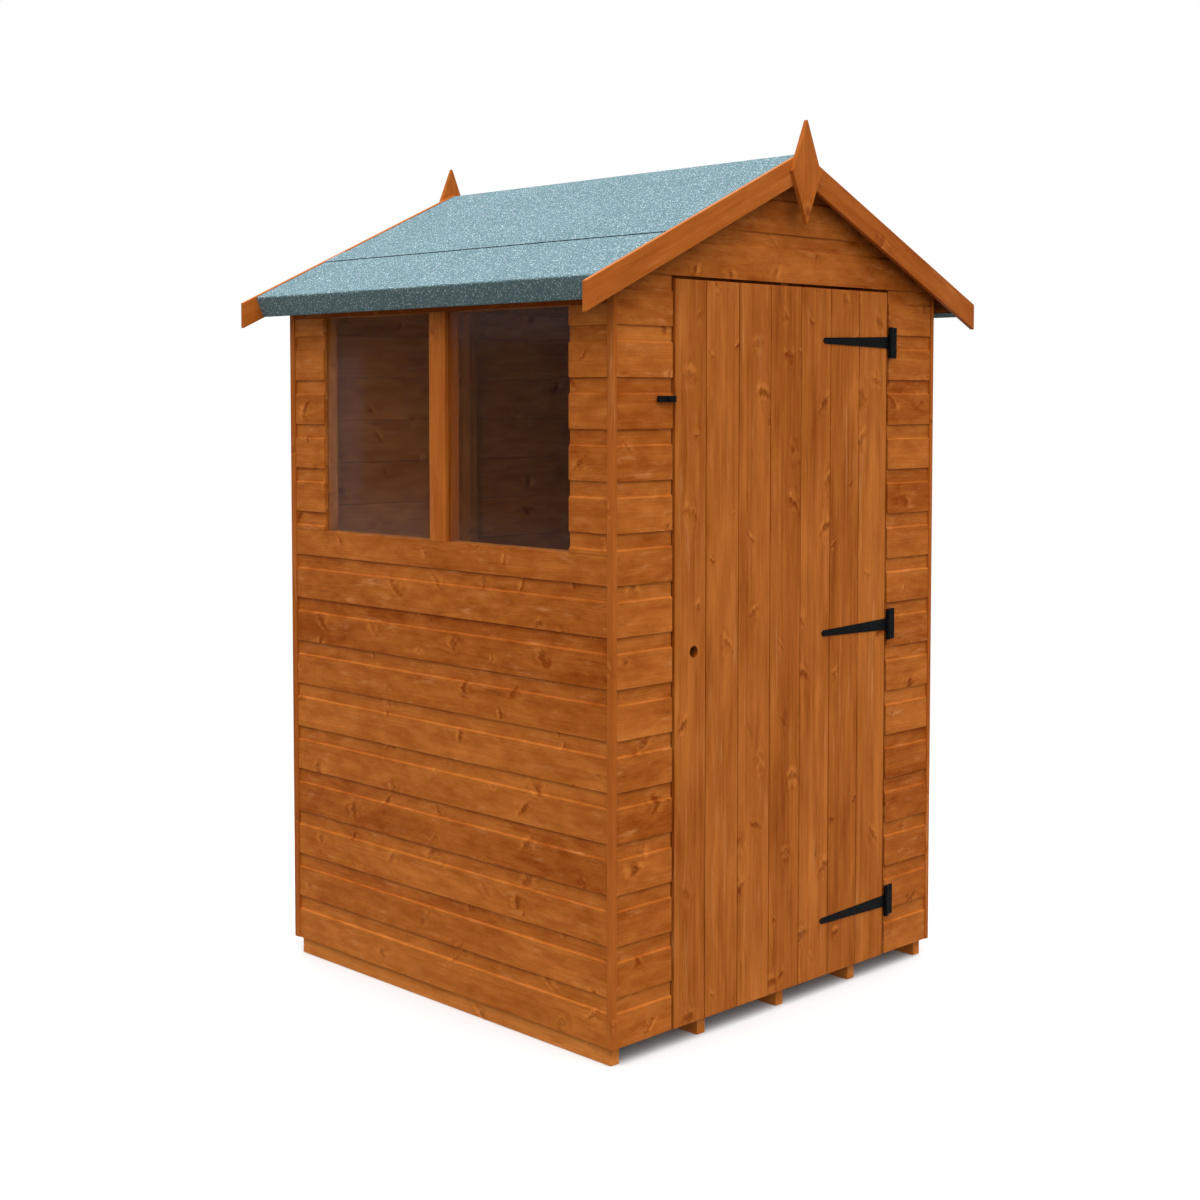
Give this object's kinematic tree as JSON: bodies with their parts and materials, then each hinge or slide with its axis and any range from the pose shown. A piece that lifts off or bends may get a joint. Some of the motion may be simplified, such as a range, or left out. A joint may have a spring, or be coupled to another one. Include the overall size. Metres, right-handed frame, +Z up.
{
  "type": "wooden garden shed",
  "caption": "Small timber shed with shiplap walls, a felted apex roof, a side window and a hinged board door.",
  "frame": {"origin": "on the ground at the middle of the plan", "axes": "+Z up, the door faces -Y, the window faces -X"},
  "size_m": [1.472, 1.346, 2.1925],
  "materials": {
    "cladding": "dip-treated softwood boards, orange brown, satin",
    "door": "dip-treated softwood boards, orange brown, satin",
    "trim": "dip-treated planed softwood, orange brown, satin",
    "framing": "dip-treated sawn softwood, orange brown, matt",
    "flooring": "planed softwood boards, matt",
    "bearers": "dip-treated sawn softwood, matt",
    "roof_boards": "dip-treated softwood boards, matt",
    "felt": "mineral roofing felt, grey green, speckled, matt",
    "glazing": "clear flat glazing",
    "ironwork": "black powder coat, satin"
  },
  "bodies": {
    "root": {"floor_bearers": "bearers", "floor_boards": "flooring", "left_wall_below_window": "cladding", "left_wall_front_strip": "cladding", "left_wall_back_strip": "cladding", "left_wall_over_window": "cladding", "right_wall_cladding": "cladding", "back_wall_cladding": "cladding", "front_wall_left_strip": "cladding", "front_wall_right_strip": "cladding", "front_gable_cladding": "cladding", "left_wall_studs": "framing", "left_wall_rails": "framing", "right_wall_studs": "framing", "right_wall_rails": "framing", "back_wall_studs": "framing", "back_wall_rails": "framing", "front_wall_studs": "framing", "front_wall_rails": "framing", "front_gable_rafters": "framing", "back_gable_rafters": "framing", "corner_trims": "trim", "window_mullion": "trim", "window_panes": "glazing", "left_roof_boards": "roof_boards", "right_roof_boards": "roof_boards", "left_roof_battens": "framing", "right_roof_battens": "framing", "left_roof_felt": "felt", "right_roof_felt": "felt", "ridge_felt": "felt", "front_left_bargeboard": "trim", "front_right_bargeboard": "trim", "back_left_bargeboard": "trim", "back_right_bargeboard": "trim", "front_finial": "trim", "back_finial": "trim", "hinge_plates": "ironwork", "turn_button_screw": "ironwork"},
    "door": {"door_boards": "door", "door_ledges": "framing", "door_braces": "framing", "hinge_straps": "ironwork"},
    "turn_button": {"turn_button": "ironwork"}
  },
  "joints": [
    {"name": "door_hinge", "type": "hinge", "parent": "root", "child": "door", "pos_m": [0.411, -0.6215, 0.926], "axis": [0, 0, 1], "range_deg": [0, 150]},
    {"name": "button_turn", "type": "hinge", "parent": "root", "child": "turn_button", "pos_m": [-0.4345, -0.621, 1.5186], "axis": [0, -1, 0], "range_deg": [0, 180]}
  ]
}
